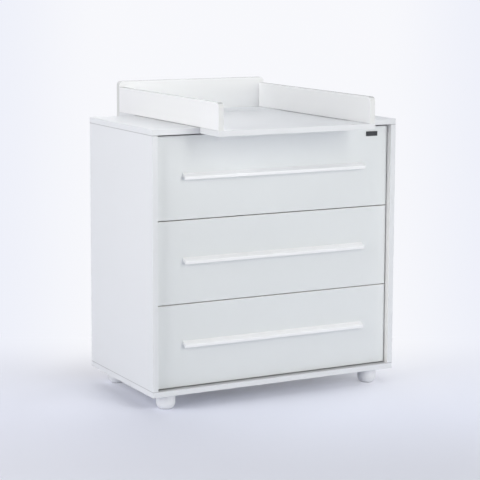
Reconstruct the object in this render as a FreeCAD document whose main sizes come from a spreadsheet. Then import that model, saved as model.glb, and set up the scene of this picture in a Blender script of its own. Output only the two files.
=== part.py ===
import FreeCAD, Part
import math
import os
import re

import Sketcher
from FreeCAD import Placement, Rotation, Vector

# A white changing dresser: a board carcass on four round feet, three inset
# drawers on telescopic runners, and a changing tray that lifts off the top.
# Millimetres, +Z up, front towards -Y, origin on the floor in the middle.

SIZES = [
    ("bodyWidth", 862, "width over the side panels"),
    ("bodyDepth", 472, "depth of the side panels"),
    ("bodyHeight", 818, "underside of the bottom panel to the top"),
    ("panelThick", 18, "carcass boards and drawer fronts"),
    ("edgeRadius", 1, "rounding of banded edges"),
    ("footHeight", 46, "turned foot without its glide"),
    ("footDiameter", 60, "widest part of the foot"),
    ("footSole", 44, "flat sole of the foot, across"),
    ("footCurve", 18, "height over which the foot rounds in"),
    ("footBevel", 1.5, "bevel at the top of the foot"),
    ("footInsetSide", 66, "side of the body to the foot's middle"),
    ("footInsetFront", 50, "front of the body to the front feet"),
    ("footInsetRear", 56, "rear of the body to the rear feet"),
    ("glideDiameter", 38, "felt glide under a foot"),
    ("glideThick", 2, "thickness of the felt glide"),
    ("studDiameter", 8, "threaded stud of a foot"),
    ("studInFoot", 26, "stud length inside the foot"),
    ("studInPanel", 13, "stud length inside the bottom panel"),
    ("nutBarrel", 11, "barrel of the tee nut, across"),
    ("nutFlange", 22, "flange of the tee nut, across"),
    ("nutFlangeThick", 1.5, "flange of the tee nut, thick"),
    ("backThick", 3, "hardboard back and drawer bottoms"),
    ("backInset", 10, "rear edge of a panel to the back"),
    ("grooveDepth", 6, "grooves for hardboard"),
    ("grooveSlack", 0.2, "room each side of hardboard in its groove"),
    ("grooveEnd", 0.5, "room between hardboard and the groove's bottom"),
    ("railHeight", 80, "stiffening rail under the top, at the rear"),
    ("railDowelInset", 20, "rail's edge to its dowels"),
    ("camDiameter", 15, "cam lock, across"),
    ("camThick", 13, "cam lock, deep"),
    ("camReach", 34, "panel end to the middle of its cam lock"),
    ("camBolt", 6, "cam bolt, across"),
    ("camBoltInPanel", 11, "cam bolt length in the top or bottom"),
    ("camFromFront", 70, "front edge to the first cam lock"),
    ("camFromRear", 80, "rear edge to the second cam lock"),
    ("dowelDiameter", 8, "beech dowel, across"),
    ("dowelLength", 24, "beech dowel, long"),
    ("dowelBeside", 32, "cam lock to the dowel beside it"),
    ("frontRecess", 20, "body's front to the drawer fronts"),
    ("frontGap", 3, "gap round and between the drawer fronts"),
    ("topGap", 5, "gap over the top drawer front"),
    ("boxBoard", 15, "drawer sides and backs"),
    ("boxLength", 396, "drawer sides"),
    ("boxHeight", 190, "drawer sides"),
    ("boxRise", 24, "front's lower edge to the drawer side"),
    ("boxDowelInset", 38, "drawer side's edges to its dowels"),
    ("bottomRise", 10, "drawer side's lower edge to its groove"),
    ("runnerThick", 12.7, "runner, wall to drawer side"),
    ("runnerHeight", 45, "cabinet member, high"),
    ("runnerLength", 400, "runner, closed"),
    ("runnerSetback", 2, "drawer front to the runner"),
    ("runnerSteel", 1.2, "runner sheet"),
    ("runnerPlay", 0.4, "running gap between two members"),
    ("runnerBall", 4, "balls that the members run on, across"),
    ("ballPlay", 0.2, "running gap round a ball"),
    ("cabinetFlange", 7.6, "cabinet member, deep"),
    ("middleFlange", 8.6, "middle member, deep"),
    ("runnerBend", 1.8, "outer radius of a plain bend in a member"),
    ("raceLip", 0.8, "straight end of a flange past its raceway"),
    ("carriedLip", 1.2, "turned-out edge of the drawer member"),
    ("stampedLong", 22, "stamped slot in a member, long"),
    ("stampedHigh", 5, "stamped slot in a member, high"),
    ("stampedFrom", 96, "runner's end to the middle of a stamped slot"),
    ("runnerLevel", 95, "drawer side's lower edge to the runner"),
    ("runnerScrew", 4, "runner screw, across"),
    ("runnerScrewHead", 6.4, "flat head of a runner screw, across"),
    ("runnerScrewLength", 13, "runner screw, long"),
    ("runnerScrewEnd", 37, "runner's end to its outer screws"),
    ("handleLength", 640, "handle rail, long"),
    ("handleHeight", 20, "handle rail, high"),
    ("handleReach", 17, "handle rail, out from the front"),
    ("handleLip", 10, "upright face of the handle rail"),
    ("lipThick", 5, "wall in front of the finger groove"),
    ("lipRound", 1.2, "rounding of the lip's lower edges"),
    ("fingerGroove", 8, "finger groove's height at the front"),
    ("grooveAtLip", 5, "finger groove's height at the lip"),
    ("handleLevel", 123, "front's lower edge to the handle"),
    ("handleRound", 2.5, "rounding of the handle's nose"),
    ("handleSpan", 512, "between the two handle screws"),
    ("handleScrew", 4, "handle screw, across"),
    ("handleScrewGrip", 8, "handle screw inside the rail"),
    ("screwHead", 8, "head of a handle or tray screw, across"),
    ("screwHeadThick", 2.4, "head of a handle or tray screw, thick"),
    ("handleScrewLevel", 12.5, "handle's lower edge to its screws"),
    ("plateWidth", 42, "small dark plate, wide"),
    ("plateHeight", 15, "small dark plate, high"),
    ("plateThick", 1.5, "small dark plate, thick"),
    ("plateRound", 0.7, "small dark plate's corners"),
    ("plateFromSide", 37, "front's right edge to the plate"),
    ("plateFromTop", 16, "front's upper edge to the plate"),
    ("trayWidth", 546, "tray, over its side boards"),
    ("trayBoard", 18, "tray side boards and shelves"),
    ("trayBackThick", 22, "tray back board"),
    ("traySideHeight", 83, "tray side boards"),
    ("trayBackHeight", 120, "tray back board"),
    ("trayFrontOver", 122, "side boards past the body's front"),
    ("trayRearOver", 120, "side boards past the body's rear"),
    ("shelfLead", 3, "front shelf past the side boards"),
    ("shelfPlay", 1, "shelf to the edge of the top"),
    ("trayCorner", 15, "rounded upper corners of the boards"),
    ("trayEdge", 1.5, "rounding of the tray's edges"),
    ("padThick", 1, "felt pad under a side board"),
    ("padLength", 70, "felt pad, long"),
    ("padWidth", 12, "felt pad, wide"),
    ("padInset", 20, "edge of the top to the pads"),
    ("trayScrew", 4, "tray screw, across"),
    ("trayScrewLength", 45, "tray screw, long"),
    ("trayScrewEnd", 22, "board's end or edge to a tray screw"),
    ("rearScrewSpread", 170, "between the screws into the rear shelf"),
]

# sizes that follow from the ones above
WORKED_OUT = {
    "baseZ": "glideThick + footHeight",
    "topZ": "baseZ + bodyHeight",
    "frontY": "(trayFrontOver + shelfLead - bodyDepth - trayRearOver - trayBackThick) / 2",
    "rearY": "frontY + bodyDepth",
    "halfWidth": "bodyWidth / 2",
    "openWidth": "bodyWidth - 2 * panelThick",
    "openHeight": "bodyHeight - 2 * panelThick",
    "openZ": "baseZ + panelThick",
    "tongue": "grooveDepth - grooveEnd",
    "backY": "rearY - backInset - backThick",
    "railY": "backY - grooveSlack - panelThick",
    "faceWidth": "openWidth - 2 * frontGap",
    "faceHeight": "(openHeight - topGap - 3 * frontGap) / 3",
    "faceY": "frontY + frontRecess",
    "boxY": "faceY + panelThick",
    "boxWidth": "openWidth - 2 * runnerThick",
    "boxInside": "boxWidth - 2 * boxBoard",
    "runnerY": "boxY + runnerSetback",
    "raceRadius": "runnerBall / 2 + ballPlay",
    "raceBend": "raceRadius + runnerSteel",
    "middleHeight": "runnerHeight - 2 * (runnerSteel + 2 * raceRadius)",
    "innerHeight": "middleHeight - 2 * (runnerSteel + 2 * raceRadius)",
    "middleWeb": "runnerSteel + runnerPlay",
    "innerEdge": "2 * (runnerSteel + runnerPlay)",
    "trayZ": "topZ + padThick",
    "trayFrontY": "frontY - trayFrontOver",
    "trayBackY": "rearY + trayRearOver",
}

DRAWERS = (1, 2, 3)  # 1 is the top drawer
SIDES = (("left", -1), ("right", 1))

doc = FreeCAD.newDocument("ChangingDresser")
sheet = doc.addObject("Spreadsheet::Sheet", "Sizes")
for row, (alias, value, note) in enumerate(SIZES, 1):
    sheet.set("A%d" % row, note)
    sheet.set("B%d" % row, str(value))
    sheet.setAlias("B%d" % row, alias)
doc.recompute()

nodes = []  # every finished sub-part, in the order it was made
CLOSE = 0.01  # edges this near to a place count as being there


def expr(text):
    """Size names become cell references, and worked-out sizes their formula."""
    def swap(match):
        word = match.group(0)
        if word in WORKED_OUT:
            return "(" + expr(WORKED_OUT[word]) + ")"
        return "Sizes." + word
    return re.sub(r"[A-Za-z]\w*", swap, str(text))


def number(text):
    """The value of an expression, in millimetres."""
    return float(sheet.evalExpression(expr(text)))


def tie(item, **properties):
    for name, text in properties.items():
        item.setExpression(name, expr(text))


def place(item, at, rotation=None):
    if rotation is not None:
        item.Placement = Placement(Vector(), rotation)
    for axis, text in zip("xyz", at):
        item.setExpression("Placement.Base." + axis, expr(text))


ALONG = {
    "+x": Rotation(Vector(0, 1, 0), 90), "-x": Rotation(Vector(0, 1, 0), -90),
    "+y": Rotation(Vector(1, 0, 0), -90), "-y": Rotation(Vector(1, 0, 0), 90),
    "+z": Rotation(), "-z": Rotation(Vector(1, 0, 0), 180),
}


def finished(item, name):
    item.Label = name
    nodes.append(item)
    return item


def new_body(name, at):
    body = doc.addObject("PartDesign::Body", name + "_body")
    place(body, at)
    return finished(body, name)


def box_feature(body, lengths, at=("0", "0", "0"), cut=False):
    kind = "SubtractiveBox" if cut else "AdditiveBox"
    box = body.newObject("PartDesign::" + kind, kind)
    tie(box, Length=lengths[0], Width=lengths[1], Height=lengths[2])
    place(box, at)
    return box


def bore(body, diameter, depth, at, along):
    hole = body.newObject("PartDesign::SubtractiveCylinder", "Bore")
    tie(hole, Radius="(%s) / 2" % diameter, Height=depth)
    place(hole, at, ALONG[along])
    return hole


def rounded(body, radius, test):
    """Round the edges of the body's last feature whose middle passes the test."""
    doc.recompute()
    base = body.Tip
    names = ["Edge%d" % i for i, edge in enumerate(base.Shape.Edges, 1)
             if test(edge.BoundBox.Center, edge.BoundBox)]
    fillet = body.newObject("PartDesign::Fillet", "Round")
    fillet.Base = (base, names)
    tie(fillet, Radius=radius)
    doc.recompute()
    return fillet


def board(name, at, lengths):
    body = new_body(name, at)
    box_feature(body, lengths)
    return body


def sketch_outline(body, plane, points):
    """A closed outline of (x, y) points, anticlockwise. A third value at a point is
    the radius of the arc from it to the next; a fourth, -1, hollows the arc inwards."""
    sketch = body.newObject("Sketcher::SketchObject", "Outline")
    origin = [f for f in body.Origin.OriginFeatures if f.Role == plane][0]
    sketch.AttachmentSupport = [(origin, "")]
    sketch.MapMode = "FlatFace"
    spots = [Vector(number(p[0]), number(p[1]), 0) for p in points]
    hollow = [len(point) > 3 for point in points]
    first = [2 if turned else 1 for turned in hollow]  # the end that each piece starts from
    for i, point in enumerate(points):
        start, end = spots[i], spots[(i + 1) % len(points)]
        if len(point) == 2:
            sketch.addGeometry(Part.LineSegment(start, end), False)
            continue
        if hollow[i]:
            start, end = end, start
        radius = number(point[2])
        chord = end - start
        rise = math.sqrt(max(radius ** 2 - (chord.Length / 2) ** 2, 0))
        centre = (start + end) / 2 + Vector(-chord.y, chord.x, 0).normalize() * rise
        angles = [math.atan2((p - centre).y, (p - centre).x) for p in (start, end)]
        circle = Part.Circle(centre, Vector(0, 0, 1), radius)
        sketch.addGeometry(Part.ArcOfCircle(circle, *angles), False)
    for i in range(len(points)):
        following = (i + 1) % len(points)
        sketch.addConstraint(Sketcher.Constraint("Coincident", i, 3 - first[i], following, first[following]))
    for i, point in enumerate(points):
        for text, kind, axis in ((point[0], "DistanceX", -2), (point[1], "DistanceY", -1)):
            value = number(text)
            if abs(value) < CLOSE:
                sketch.addConstraint(Sketcher.Constraint("PointOnObject", i, first[i], axis))
                continue
            pair = (-1, 1, i, first[i]) if value > 0 else (i, first[i], -1, 1)
            index = sketch.addConstraint(Sketcher.Constraint(kind, *pair, abs(value)))
            sketch.setExpression("Constraints[%d]" % index, expr(text if value > 0 else "-(%s)" % text))
        if len(point) > 2:
            index = sketch.addConstraint(Sketcher.Constraint("Radius", i, number(point[2])))
            sketch.setExpression("Constraints[%d]" % index, expr(point[2]))
    return sketch


def pad(body, sketch, length):
    solid = body.newObject("PartDesign::Pad", "Pad")
    solid.Profile = sketch
    tie(solid, Length=length)
    return solid


def cylinder(diameter, length, at, along):
    rod = doc.addObject("Part::Cylinder", "Rod")
    tie(rod, Radius="(%s) / 2" % diameter, Height=length)
    place(rod, at, ALONG[along])
    return rod


def cone(wide, narrow, length, at, along):
    head = doc.addObject("Part::Cone", "Head")
    tie(head, Radius1="(%s) / 2" % wide, Radius2="(%s) / 2" % narrow, Height=length)
    place(head, at, ALONG[along])
    return head


def joined(*pieces):
    whole = doc.addObject("Part::MultiFuse", "Joined")
    whole.Shapes = list(pieces)
    return whole


def group(name, pieces):
    """Identical loose pieces that share one node."""
    gathered = doc.addObject("Part::Compound", name + "_group")
    gathered.Links = pieces
    return finished(gathered, name)


def countersunk(diameter, head, head_thick, length, at, along):
    """A screw whose flat head ends at the given point, running along the axis."""
    sign = "" if along[0] == "+" else "-"
    axis = "xyz".index(along[1])
    neck = list(at)
    neck[axis] = "%s + (%s(%s))" % (at[axis], sign, head_thick)
    return joined(cone(head, diameter, head_thick, at, along),
                  cylinder(diameter, "(%s) - (%s)" % (length, head_thick), neck, along))


def sink(body, diameter, head, head_thick, depth, at, along):
    """The bore and countersink that take such a screw."""
    bore(body, diameter, depth, at, along)
    seat = body.newObject("PartDesign::SubtractiveCone", "Seat")
    tie(seat, Radius1="(%s) / 2" % head, Radius2="(%s) / 2" % diameter, Height=head_thick)
    place(seat, at, ALONG[along])


# Carcass
RAIL_DOWELS = ("railDowelInset", "railHeight - railDowelInset")  # below the top panel
RUNNER_SCREWS = ("runnerScrewEnd", "runnerLength - runnerScrewEnd")


def cam_places():
    """Where the cam locks and the dowels beside them lie, front to rear."""
    front, rear = "frontY + camFromFront", "rearY - camFromRear"
    return (front, front + " + dowelBeside"), (rear, rear + " - dowelBeside")


def joint_bores(panel, x, z, along):
    """Bores for cam bolts and dowels in the face of the top or bottom panel."""
    for cam_y, dowel_y in cam_places():
        bore(panel, "camBolt", "camBoltInPanel", (x, "%s - frontY" % cam_y, z), along)
        bore(panel, "dowelDiameter", "dowelLength / 2", (x, "%s - frontY" % dowel_y, z), along)


def deck(name, z, inner_z, along):
    """The top or the bottom panel, grooved for the back on its inner face."""
    panel = board(name, ("-halfWidth", "frontY", z), ("bodyWidth", "bodyDepth", "panelThick"))
    rounded(panel, "edgeRadius", lambda middle, box: True)
    groove_z = "panelThick - grooveDepth" if along == "-z" else "0"
    box_feature(panel, ("openWidth + 2 * grooveDepth", "backThick + 2 * grooveSlack", "grooveDepth"),
                ("panelThick - grooveDepth", "backY - grooveSlack - frontY", groove_z), cut=True)
    for x in ("panelThick / 2", "bodyWidth - panelThick / 2"):
        joint_bores(panel, x, inner_z, along)
    return panel


deck("top_panel", "topZ - panelThick", "0", "+z")
bottom_panel = deck("bottom_panel", "baseZ", "panelThick", "-z")


def drawer_z(number_from_top):
    """Lower edge of a drawer front."""
    return "openZ + frontGap + %d * (faceHeight + frontGap)" % (len(DRAWERS) - number_from_top)


def side_panel(name, sign):
    corner_x = "-halfWidth" if sign < 0 else "halfWidth - panelThick"
    inner_x = "panelThick" if sign < 0 else "0"
    into = "-x" if sign < 0 else "+x"
    panel = board(name, (corner_x, "frontY", "openZ"), ("panelThick", "bodyDepth", "openHeight"))
    rounded(panel, "edgeRadius", lambda middle, box: box.ZLength > number("openHeight / 2"))
    groove_x = "panelThick - grooveDepth" if sign < 0 else "0"
    box_feature(panel, ("grooveDepth", "backThick + 2 * grooveSlack", "openHeight"),
                (groove_x, "backY - grooveSlack - frontY", "0"), cut=True)
    for cam_y, dowel_y in cam_places():
        y, beside = "%s - frontY" % cam_y, "%s - frontY" % dowel_y
        for z, end, up in (("camReach", "0", "+z"), ("openHeight - camReach", "openHeight", "-z")):
            bore(panel, "camDiameter", "camThick", (inner_x, y, z), into)
            bore(panel, "camBolt", "camReach", ("panelThick / 2", y, end), up)
            bore(panel, "dowelDiameter", "dowelLength / 2", ("panelThick / 2", beside, end), up)
    for level in RAIL_DOWELS:
        bore(panel, "dowelDiameter", "dowelLength / 2",
             (inner_x, "railY + panelThick / 2 - frontY", "openHeight - %s" % level), into)
    for drawer in DRAWERS:
        level = "%s + boxRise + runnerLevel - openZ" % drawer_z(drawer)
        for y in RUNNER_SCREWS:
            bore(panel, "runnerScrew", "runnerScrewLength - runnerSteel",
                 (inner_x, "runnerY - frontY + " + y, level), into)
    return panel


for side, sign in SIDES:
    side_panel("side_panel_" + side, sign)

board("back_panel", ("-openWidth / 2 - tongue", "backY", "openZ - tongue"),
      ("openWidth + 2 * tongue", "backThick", "openHeight + 2 * tongue"))

rear_rail = board("rear_rail", ("-openWidth / 2", "railY", "topZ - panelThick - railHeight"),
                  ("openWidth", "panelThick", "railHeight"))
for x, along in (("0", "+x"), ("openWidth", "-x")):
    for level in RAIL_DOWELS:
        bore(rear_rail, "dowelDiameter", "dowelLength / 2",
             (x, "panelThick / 2", "railHeight - %s" % level), along)


# Carcass fittings
cam_fittings = []
carcass_dowels = []
for side, sign in SIDES:
    inner_x = "%d * (halfWidth - panelThick)" % sign
    middle_x = "%d * (halfWidth - panelThick / 2)" % sign
    outwards = "-x" if sign < 0 else "+x"
    for cam_y, dowel_y in cam_places():
        for end, inwards, cam_z in (("openZ", 1, "openZ + camReach"),
                                    ("topZ - panelThick", -1, "topZ - panelThick - camReach")):
            up = "+z" if inwards > 0 else "-z"
            bolt_z = "%s - %d * camBoltInPanel" % (end, inwards)
            dowel_z = "%s - %d * dowelLength / 2" % (end, inwards)
            cam_fittings.append(cylinder("camDiameter", "camThick", (inner_x, cam_y, cam_z), outwards))
            cam_fittings.append(cylinder("camBolt", "camBoltInPanel + camReach - camDiameter / 2",
                                         (middle_x, cam_y, bolt_z), up))
            carcass_dowels.append(cylinder("dowelDiameter", "dowelLength",
                                           (middle_x, dowel_y, dowel_z), up))
    for level in RAIL_DOWELS:
        carcass_dowels.append(cylinder(
            "dowelDiameter", "dowelLength",
            ("%s - %d * dowelLength / 2" % (inner_x, sign), "railY + panelThick / 2",
             "topZ - panelThick - %s" % level), outwards))
group("cam_fittings", cam_fittings)
group("carcass_dowels", carcass_dowels)


# Feet
FEET = [("foot_%s_%s" % (row, side), "%d * (halfWidth - footInsetSide)" % sign, y)
        for row, y in (("front", "frontY + footInsetFront"), ("rear", "rearY - footInsetRear"))
        for side, sign in SIDES]


def foot(name, x, y):
    """A turned bun foot: straight wall, lower part rounding in to a flat sole."""
    body = new_body(name, (x, y, "glideThick"))
    curve = "(((footDiameter - footSole) / 2) ^ 2 + footCurve ^ 2) / (footDiameter - footSole)"
    outline = sketch_outline(body, "XZ_Plane", [
        ("0", "0"),
        ("footSole / 2", "0", curve),
        ("footDiameter / 2", "footCurve"),
        ("footDiameter / 2", "footHeight - footBevel"),
        ("footDiameter / 2 - footBevel", "footHeight"),
        ("0", "footHeight"),
    ])
    turned = body.newObject("PartDesign::Revolution", "Turned")
    turned.Profile = outline
    turned.ReferenceAxis = (outline, ["V_Axis"])
    turned.Angle = 360
    bore(body, "studDiameter", "studInFoot", ("0", "0", "footHeight"), "-z")


glides, studs, tee_nuts = [], [], []
for name, x, y in FEET:
    foot(name, x, y)
    glides.append(cylinder("glideDiameter", "glideThick", (x, y, "0"), "+z"))
    studs.append(cylinder("studDiameter", "studInFoot + studInPanel", (x, y, "baseZ - studInFoot"), "+z"))
    nut = joined(cylinder("nutBarrel", "studInPanel", (x, y, "openZ"), "-z"),
                 cylinder("nutFlange", "nutFlangeThick", (x, y, "openZ"), "+z"))
    threaded = doc.addObject("Part::Cut", "Threaded")
    threaded.Base = nut
    threaded.Tool = cylinder("studDiameter", "studInPanel + nutFlangeThick",
                             (x, y, "openZ + nutFlangeThick"), "-z")
    tee_nuts.append(threaded)
    bore(bottom_panel, "nutBarrel", "panelThick",
         ("%s + halfWidth" % x, "%s - frontY" % y, "panelThick"), "-z")
group("foot_glides", glides)
group("foot_studs", studs)
group("foot_tee_nuts", tee_nuts)


# Runners
def mirrored(points, x, y):
    """The outline mirrored in x or y, and run backwards, so it stays anticlockwise."""
    turned = []
    for i in range(len(points) - 1, -1, -1):
        corner = tuple("-(%s)" % text if flip else text
                       for text, flip in zip(points[i][:2], (x, y)))
        turned.append(corner + tuple(points[i - 1][2:]))
    return turned


def strip(sign, level, half):
    """One member: bent strip whose upper half section runs from the inside of its
    web round the flange's edge to the web's outside. x is out from the wall."""
    section = half + mirrored(half, False, True)
    member = doc.addObject("PartDesign::Body", "Member")
    place(member, ("%d * openWidth / 2" % sign, "runnerY", level))
    outline = sketch_outline(member, "XZ_Plane", mirrored(section, True, False) if sign > 0 else section)
    pad(member, outline, "runnerLength").Reversed = True
    return member


def hooked(web, deep, high, bend):
    """Half section with its web at the wall and a raceway at the flange's edge."""
    edge, top = "%s + %s" % (web, deep), "(%s) / 2" % high
    inside = "(%s) - runnerSteel" % bend
    return [
        ("%s + runnerSteel" % web, "%s - (%s)" % (top, bend), inside, -1),
        ("%s + (%s)" % (web, bend), top + " - runnerSteel"),
        (edge + " - raceBend", top + " - runnerSteel", "raceRadius", -1),
        (edge + " - runnerSteel", top + " - raceBend"),
        (edge + " - runnerSteel", top + " - raceBend - raceLip"),
        (edge, top + " - raceBend - raceLip"),
        (edge, top + " - raceBend", "raceBend"),
        (edge + " - raceBend", top),
        ("%s + (%s)" % (web, bend), top, bend),
        (web, "%s - (%s)" % (top, bend)),
    ]


def carried(top):
    """Half section with its web at the drawer and its flange's edge turned out."""
    web = "runnerThick"
    return [
        (web, top + " - runnerBend", "runnerBend"),
        (web + " - runnerBend", top),
        ("innerEdge + runnerBend", top, "runnerBend - runnerSteel", -1),
        ("innerEdge + runnerSteel", top + " + runnerBend - runnerSteel"),
        ("innerEdge + runnerSteel", top + " + carriedLip"),
        ("innerEdge", top + " + carriedLip"),
        ("innerEdge", top + " + runnerBend - runnerSteel", "runnerBend"),
        ("innerEdge + runnerBend", top + " - runnerSteel"),
        (web + " - runnerBend", top + " - runnerSteel", "runnerBend - runnerSteel", -1),
        (web + " - runnerSteel", top + " - runnerBend"),
    ]


def stamped(member):
    """Slots with round ends, stamped through a member's web."""
    reach, half_high = "(stampedLong - stampedHigh) / 2", "stampedHigh / 2"
    for y in ("stampedFrom", "runnerLength - stampedFrom"):
        low_y, high_y = "%s - %s" % (y, reach), "%s + %s" % (y, reach)
        slot = member.newObject("PartDesign::Pocket", "Slot")
        slot.Profile = sketch_outline(member, "YZ_Plane", [
            (low_y, "-(%s)" % half_high),
            (high_y, "-(%s)" % half_high, half_high),
            ("%s + %s" % (high_y, half_high), "0", half_high),
            (high_y, half_high),
            (low_y, half_high, half_high),
            ("%s - %s" % (low_y, half_high), "0", half_high),
        ])
        slot.Type = "ThroughAll"
        slot.Midplane = True


cabinet_screws = []
for drawer in DRAWERS:
    level = "%s + boxRise + runnerLevel" % drawer_z(drawer)
    cabinet, middle, inner, inner_screws = [], [], [], []
    for side, sign in SIDES:
        outwards, inwards = ("-x", "+x") if sign < 0 else ("+x", "-x")
        fixed = strip(sign, level, hooked("0", "cabinetFlange", "runnerHeight", "raceBend"))
        cabinet.append(fixed)
        between = strip(sign, level, hooked("middleWeb", "middleFlange", "middleHeight", "runnerBend"))
        middle.append(between)
        moving = strip(sign, level, carried("innerHeight / 2"))
        inner.append(moving)
        wall_web, drawer_web = ("%d * (%s)" % (-sign, u) for u in ("runnerSteel", "runnerThick - runnerSteel"))
        for y in RUNNER_SCREWS:
            for member, x, along in ((fixed, wall_web, outwards), (moving, drawer_web, inwards)):
                sink(member, "runnerScrew", "runnerScrewHead", "runnerSteel", "2 * runnerSteel",
                     (x, y, "0"), along)
            screw_y = "runnerY + " + y
            cabinet_screws.append(countersunk(
                "runnerScrew", "runnerScrewHead", "runnerSteel", "runnerScrewLength",
                ("%d * (openWidth / 2 - runnerSteel)" % sign, screw_y, level), outwards))
            inner_screws.append(countersunk(
                "runnerScrew", "runnerScrewHead", "runnerSteel", "runnerScrewLength",
                ("%d * (boxWidth / 2 + runnerSteel)" % sign, screw_y, level), inwards))
        for member in (fixed, between, moving):
            stamped(member)
    group("runner_cabinet_%d" % drawer, cabinet)
    group("runner_middle_%d" % drawer, middle)
    group("runner_drawer_%d" % drawer, inner)
    group("drawer_%d_runner_screws" % drawer, inner_screws)
group("runner_screws", cabinet_screws)


# Drawers
BOX_DOWELS = ("boxDowelInset", "boxHeight - boxDowelInset")
HANDLE_SCREWS = ("-handleSpan / 2", "handleSpan / 2")


def drawer_front(name, z):
    front = board(name, ("-faceWidth / 2", "faceY", z), ("faceWidth", "panelThick", "faceHeight"))
    rounded(front, "edgeRadius", lambda middle, box: middle.y < CLOSE)
    box_feature(front, ("boxInside + 2 * grooveDepth", "grooveDepth", "backThick + 2 * grooveSlack"),
                ("(faceWidth - boxInside) / 2 - grooveDepth", "panelThick - grooveDepth",
                 "boxRise + bottomRise - grooveSlack"), cut=True)
    for side, sign in SIDES:
        for height in BOX_DOWELS:
            bore(front, "dowelDiameter", "dowelLength / 2",
                 ("faceWidth / 2 + %d * (boxWidth - boxBoard) / 2" % sign, "panelThick",
                  "boxRise + " + height), "-y")
    for x in HANDLE_SCREWS:
        bore(front, "handleScrew", "panelThick",
             ("faceWidth / 2 + " + x, "panelThick", "handleLevel + handleScrewLevel"), "-y")
    return front


def drawer_side(name, sign, z):
    corner_x = "-boxWidth / 2" if sign < 0 else "boxWidth / 2 - boxBoard"
    inner_x, groove_x = ("boxBoard", "boxBoard - grooveDepth") if sign < 0 else ("0", "0")
    outer_x = "0" if sign < 0 else "boxBoard"
    inwards, outwards = ("+x", "-x") if sign < 0 else ("-x", "+x")
    side = board(name, (corner_x, "boxY", z), ("boxBoard", "boxLength", "boxHeight"))
    rounded(side, "edgeRadius", lambda middle, box: middle.z > number("boxHeight") - CLOSE
            and box.YLength > number("boxLength / 2"))
    box_feature(side, ("grooveDepth", "boxLength", "backThick + 2 * grooveSlack"),
                (groove_x, "0", "bottomRise - grooveSlack"), cut=True)
    for height in BOX_DOWELS:
        bore(side, "dowelDiameter", "dowelLength / 2", ("boxBoard / 2", "0", height), "+y")
        bore(side, "dowelDiameter", "dowelLength / 2",
             (inner_x, "boxLength - boxBoard / 2", height), outwards)
    for y in RUNNER_SCREWS:
        bore(side, "runnerScrew", "runnerScrewLength - runnerSteel",
             (outer_x, "runnerSetback + " + y, "runnerLevel"), inwards)


def drawer_back(name, z):
    low = "bottomRise + backThick"
    back = board(name, ("-boxInside / 2", "boxY + boxLength - boxBoard", "%s + %s" % (z, low)),
                 ("boxInside", "boxBoard", "boxHeight - (%s)" % low))
    rounded(back, "edgeRadius", lambda middle, box: middle.z > number("boxHeight - (%s)" % low) - CLOSE
            and box.XLength > number("boxInside / 2"))
    for x, along in (("0", "+x"), ("boxInside", "-x")):
        for height in BOX_DOWELS:
            bore(back, "dowelDiameter", "dowelLength / 2",
                 (x, "boxBoard / 2", "%s - (%s)" % (height, low)), along)


def handle(name, z):
    """A moulded rail: sloping top, upright nose, finger groove cut underneath."""
    body = new_body(name, ("-handleLength / 2", "faceY", z))
    outline = sketch_outline(body, "YZ_Plane", [
        ("0", "fingerGroove"),
        ("0", "handleHeight"),
        ("-handleReach", "handleLip"),
        ("-handleReach", "0"),
        ("-handleReach + lipThick", "0"),
        ("-handleReach + lipThick", "grooveAtLip"),
    ])
    pad(body, outline, "handleLength")
    nose_y = -number("handleReach")
    lip_y = nose_y + number("lipThick")

    def long_edge(y, z):
        return lambda middle, box: (box.XLength > number("handleLength / 2")
                                    and abs(middle.y - y) < CLOSE and abs(middle.z - z) < CLOSE)
    rounded(body, "handleRound", long_edge(nose_y, number("handleLip")))
    rounded(body, "lipRound", lambda middle, box: long_edge(nose_y, 0)(middle, box)
            or long_edge(lip_y, 0)(middle, box))
    for x in HANDLE_SCREWS:
        bore(body, "handleScrew", "handleScrewGrip",
             ("handleLength / 2 + " + x, "0", "handleScrewLevel"), "-y")


for drawer in DRAWERS:
    part_of = "drawer_%d_" % drawer
    face_z = drawer_z(drawer)
    box_z = face_z + " + boxRise"
    drawer_front(part_of + "front", face_z)
    for side, sign in SIDES:
        drawer_side(part_of + "side_" + side, sign, box_z)
    drawer_back(part_of + "back", box_z)
    board(part_of + "bottom",
          ("-boxInside / 2 - tongue", "boxY - tongue", box_z + " + bottomRise"),
          ("boxInside + 2 * tongue", "boxLength + tongue", "backThick"))
    handle(part_of + "handle", face_z + " + handleLevel")
    screws = []
    for x in HANDLE_SCREWS:
        screw_z = face_z + " + handleLevel + handleScrewLevel"
        screws.append(joined(
            cylinder("handleScrew", "panelThick + handleScrewGrip", (x, "boxY", screw_z), "-y"),
            cylinder("screwHead", "screwHeadThick", (x, "boxY", screw_z), "+y")))
    group(part_of + "handle_screws", screws)
    dowels = []
    for side, sign in SIDES:
        for height in BOX_DOWELS:
            dowel_z = box_z + " + " + height
            side_x = "%d * (boxWidth - boxBoard) / 2" % sign
            dowels.append(cylinder("dowelDiameter", "dowelLength",
                                   (side_x, "boxY - dowelLength / 2", dowel_z), "+y"))
            dowels.append(cylinder("dowelDiameter", "dowelLength",
                                   ("%d * boxInside / 2 - dowelLength / 2" % sign,
                                    "boxY + boxLength - boxBoard / 2", dowel_z), "+x"))
    group(part_of + "dowels", dowels)

plate = board("front_plate",
              ("faceWidth / 2 - plateFromSide - plateWidth", "faceY - plateThick",
               drawer_z(1) + " + faceHeight - plateFromTop - plateHeight"),
              ("plateWidth", "plateThick", "plateHeight"))
rounded(plate, "plateRound", lambda middle, box: box.YLength > number("plateThick") - CLOSE)


# Changing tray
def slab(name, at, lengths, corners, skip):
    """A tray board: large rounded corners, then all outlines eased but the hidden ends."""
    body = board(name, at, lengths)
    if corners:
        rounded(body, "trayCorner", corners)
    rounded(body, "trayEdge", lambda middle, box: not skip(middle, box))
    return body


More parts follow.
